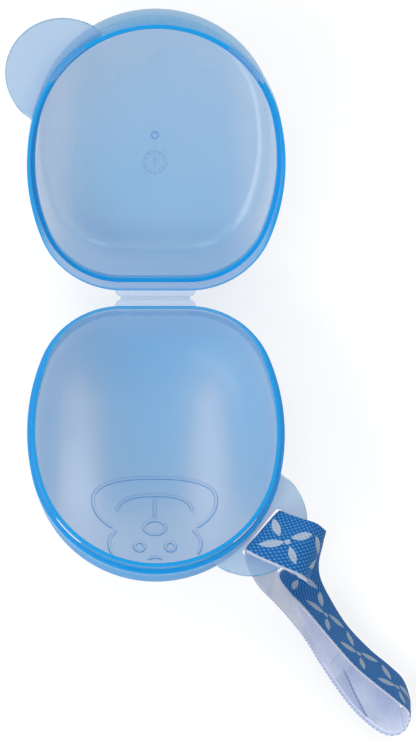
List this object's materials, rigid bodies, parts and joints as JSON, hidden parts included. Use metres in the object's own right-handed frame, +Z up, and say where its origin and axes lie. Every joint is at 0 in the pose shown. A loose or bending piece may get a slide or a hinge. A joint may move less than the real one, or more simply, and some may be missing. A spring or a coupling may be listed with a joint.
{
  "type": "pacifier sterilizer case",
  "caption": "Open hinged case that holds a baby's dummy, with two translucent rounded shells, an ear on each shell and a printed ribbon strap through one ear.",
  "frame": {"origin": "on the surface the open case lies on, under the middle of the whole part's bounding box", "axes": "+Z up, +Y from the base towards the lid, +X along the hinge line towards the side the strap lies on"},
  "size_m": [0.1338, 0.2394, 0.0592],
  "materials": {
    "shell_plastic": "translucent light blue polypropylene, fine satin",
    "rim_plastic": "the same translucent polypropylene, seen deep through the rim's edge",
    "ear_plastic": "thin translucent polypropylene plate, satin",
    "hinge_plastic": "thin translucent polypropylene, smooth",
    "ribbon_print": "woven polyester ribbon, dyed blue with pale leaf motifs on its outer face",
    "ribbon_back": "the ribbon's undyed white inner face",
    "thread": "white polyester sewing thread"
  },
  "bodies": {
    "base": {"base_bowl": "shell_plastic", "base_band": "rim_plastic", "base_lip": "rim_plastic", "base_beads": "rim_plastic", "base_ear": "ear_plastic", "base_leaf": "hinge_plastic", "muzzle_ridge": "shell_plastic", "head_ridges": "shell_plastic", "mouth_ridge": "shell_plastic", "nose_ridge": "shell_plastic", "eye_ridges": "shell_plastic", "tuft_ridge": "shell_plastic", "hinge_film": "hinge_plastic", "strap_band": "ribbon_print", "strap_lap": "ribbon_back", "strap_stitches": "thread"},
    "lid": {"lid_tray": "shell_plastic", "lid_band": "rim_plastic", "lid_skirt": "rim_plastic", "lid_ear": "ear_plastic", "lid_leaf": "hinge_plastic", "gate_mark": "shell_plastic", "date_dial": "shell_plastic"}
  },
  "joints": [
    {"name": "lid_hinge", "type": "hinge", "parent": "base", "child": "lid", "pos_m": [-0.01829, 0.02597, 0.0246], "axis": [1, 0, 0], "range_deg": [-58.5, 141.5], "deforming": ["hinge_film"]}
  ]
}
